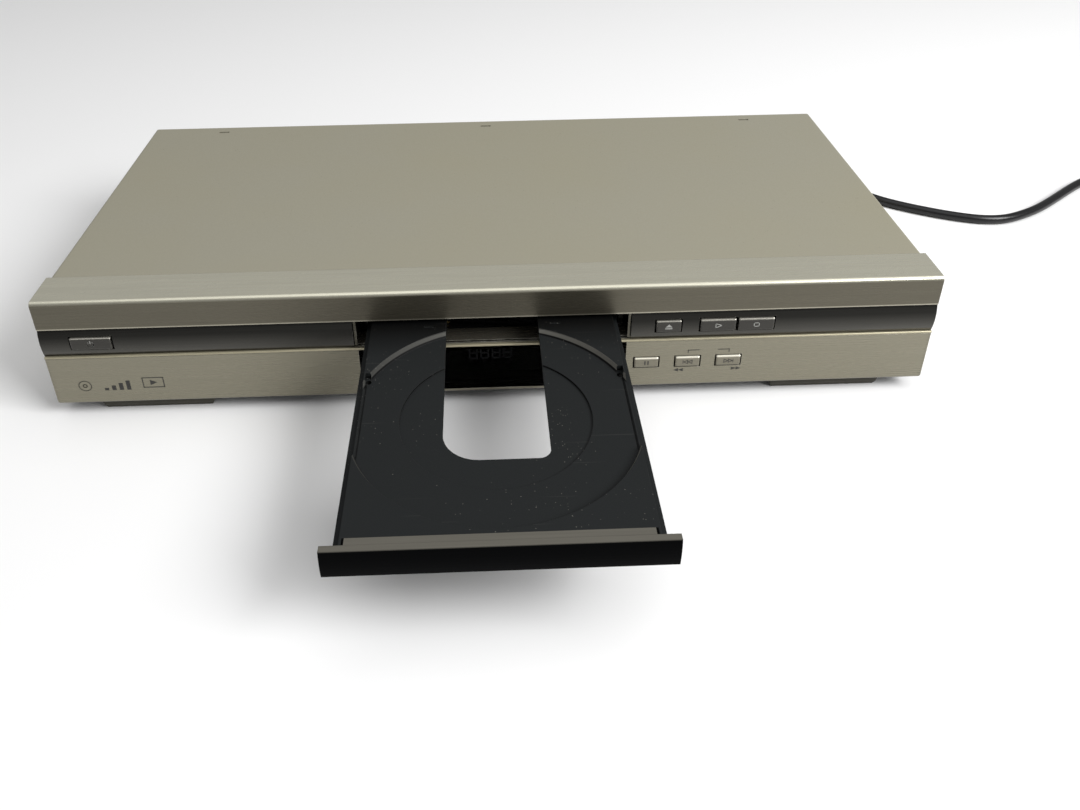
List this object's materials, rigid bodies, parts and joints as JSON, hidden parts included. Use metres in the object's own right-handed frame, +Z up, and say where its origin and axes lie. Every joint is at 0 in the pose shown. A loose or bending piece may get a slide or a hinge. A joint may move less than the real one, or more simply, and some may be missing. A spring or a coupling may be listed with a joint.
{
  "type": "dvd player with tray",
  "caption": "Silver full-width disc player with its black disc tray out, a dark band of keys, a display window and a mains cord.",
  "frame": {"origin": "middle of the footprint of player and open tray, on the surface under the feet", "axes": "+X to the right seen from the front, +Y to the rear, +Z up"},
  "size_m": [0.6973, 0.3802, 0.0676],
  "materials": {
    "painted_shell": "satin",
    "silver_plastic": "satin",
    "dark_band": "satin",
    "bright_trim": "gloss",
    "smoked_window": "gloss",
    "display_glass": "gloss",
    "circuit_board": "satin",
    "black_plastic": "matte",
    "plated_steel": "satin",
    "foot_plastic": "matte",
    "tray_plastic": "matte",
    "natural_plastic": "satin",
    "gold_metal": "satin",
    "black_rubber": "matte",
    "pickup_metal": "satin",
    "lens_glass": "gloss",
    "copper_winding": "satin"
  },
  "bodies": {
    "chassis": {"top_cover": "painted_shell", "front_bezel": "silver_plastic", "left_band": "dark_band", "right_band": "dark_band", "trim_strip": "bright_trim", "display_window": "smoked_window", "display_tube": "display_glass", "display_board": "circuit_board", "key_board": "circuit_board", "key_switches": "black_plastic", "base_pan": "plated_steel", "rear_panel": "plated_steel", "front_feet": "foot_plastic", "rear_feet": "black_plastic", "loader_frame": "black_plastic", "clamp_bridge": "plated_steel", "loading_motor": "plated_steel", "drive_belt": "black_rubber", "main_board": "circuit_board", "board_chips": "black_plastic", "power_board": "circuit_board", "transformer": "copper_winding", "capacitors": "black_plastic", "heat_sink": "plated_steel", "jack_block": "black_plastic", "jack_pins": "gold_metal", "flat_cable": "natural_plastic", "cover_screws": "plated_steel", "inner_screws": "plated_steel", "cord_relief": "black_rubber", "power_cord": "black_rubber", "cord_coil": "black_rubber", "coil_tie": "black_rubber", "plug_body": "black_rubber", "plug_pins": "gold_metal"},
    "tray": {"disc_tray": "tray_plastic", "tray_front": "tray_plastic"},
    "clamper": {"disc_clamper": "natural_plastic"},
    "motor_pulley": {"motor_pulley": "gold_metal"},
    "pulley_gear": {"pulley_gear": "natural_plastic"},
    "tray_gear": {"tray_gear": "natural_plastic"},
    "cam_slider": {"cam_slider": "natural_plastic"},
    "deck": {"optical_deck": "black_plastic", "spindle_motor": "plated_steel", "guide_rods": "plated_steel", "sled_motor": "plated_steel"},
    "turntable": {"turntable": "black_plastic", "turntable_ring": "black_rubber"},
    "lead_screw": {"lead_screw": "gold_metal"},
    "pickup": {"pickup": "pickup_metal", "objective_lens": "lens_glass"},
    "power_key": {"power_key": "dark_band"},
    "eject_key": {"eject_key": "dark_band"},
    "play_key": {"play_key": "dark_band"},
    "stop_key": {"stop_key": "dark_band"},
    "pause_key": {"pause_key": "silver_plastic"},
    "skip_back_key": {"skip_back_key": "silver_plastic"},
    "skip_forward_key": {"skip_forward_key": "silver_plastic"}
  },
  "joints": [
    {"name": "tray_slide", "type": "slide", "parent": "chassis", "child": "tray", "axis": [0, 1, 0], "range_m": [0, 0.135]},
    {"name": "tray_gear_turn", "type": "hinge", "parent": "chassis", "child": "tray_gear", "pos_m": [0.036, -0.0074, 0.042], "axis": [0, 0, 1], "range_deg": [0, 774]},
    {"name": "pulley_gear_turn", "type": "hinge", "parent": "chassis", "child": "pulley_gear", "pos_m": [0.01936, -0.00199, 0.038], "axis": [0, 0, 1], "range_deg": [-1032, 0]},
    {"name": "motor_pulley_turn", "type": "hinge", "parent": "chassis", "child": "motor_pulley", "pos_m": [-0.024, -0.0064, 0.034], "axis": [0, 0, 1], "range_deg": [-3913, 0]},
    {"name": "deck_lift", "type": "hinge", "parent": "chassis", "child": "deck", "pos_m": [0, 0.1336, 0.03625], "axis": [-1, 0, 0], "range_deg": [0, 3.6]},
    {"name": "cam_slide", "type": "slide", "parent": "chassis", "child": "cam_slider", "axis": [1, 0, 0], "range_m": [0, 0.014]},
    {"name": "turntable_spin", "type": "hinge", "parent": "deck", "child": "turntable", "pos_m": [0, 0.03524, 0.03883], "axis": [0, -0.0628, 0.998], "continuous": true},
    {"name": "clamper_spin", "type": "hinge", "parent": "chassis", "child": "clamper", "pos_m": [0, 0.0356, 0.057], "axis": [0, 0, 1], "continuous": true},
    {"name": "pickup_slide", "type": "slide", "parent": "deck", "child": "pickup", "axis": [0, 0.998, 0.0628], "range_m": [0, 0.036]},
    {"name": "lead_screw_turn", "type": "hinge", "parent": "deck", "child": "lead_screw", "pos_m": [0.037, 0.08546, 0.03698], "axis": [0, 0.998, 0.0628], "range_deg": [0, 4320]},
    {"name": "power_press", "type": "slide", "parent": "chassis", "child": "power_key", "axis": [0, 1, 0], "range_m": [0, 0.0008], "stiffness_N_per_m": 600},
    {"name": "eject_press", "type": "slide", "parent": "chassis", "child": "eject_key", "axis": [0, 1, 0], "range_m": [0, 0.0008], "stiffness_N_per_m": 600},
    {"name": "play_press", "type": "slide", "parent": "chassis", "child": "play_key", "axis": [0, 1, 0], "range_m": [0, 0.0008], "stiffness_N_per_m": 600},
    {"name": "stop_press", "type": "slide", "parent": "chassis", "child": "stop_key", "axis": [0, 1, 0], "range_m": [0, 0.0008], "stiffness_N_per_m": 600},
    {"name": "pause_press", "type": "slide", "parent": "chassis", "child": "pause_key", "axis": [0, 1, 0], "range_m": [0, 0.0008], "stiffness_N_per_m": 600},
    {"name": "skip_back_press", "type": "slide", "parent": "chassis", "child": "skip_back_key", "axis": [0, 1, 0], "range_m": [0, 0.0008], "stiffness_N_per_m": 600},
    {"name": "skip_forward_press", "type": "slide", "parent": "chassis", "child": "skip_forward_key", "axis": [0, 1, 0], "range_m": [0, 0.0008], "stiffness_N_per_m": 600}
  ],
  "couplings": [
    {"joint": "tray_gear_turn", "follows": "tray_slide", "rad_per_m": 100},
    {"joint": "pulley_gear_turn", "follows": "tray_slide", "rad_per_m": -133.33},
    {"joint": "motor_pulley_turn", "follows": "tray_slide", "rad_per_m": -505.88},
    {"joint": "cam_slide", "follows": "deck_lift", "m_per_rad": 0.22123},
    {"joint": "lead_screw_turn", "follows": "pickup_slide", "rad_per_m": 2094.4}
  ]
}
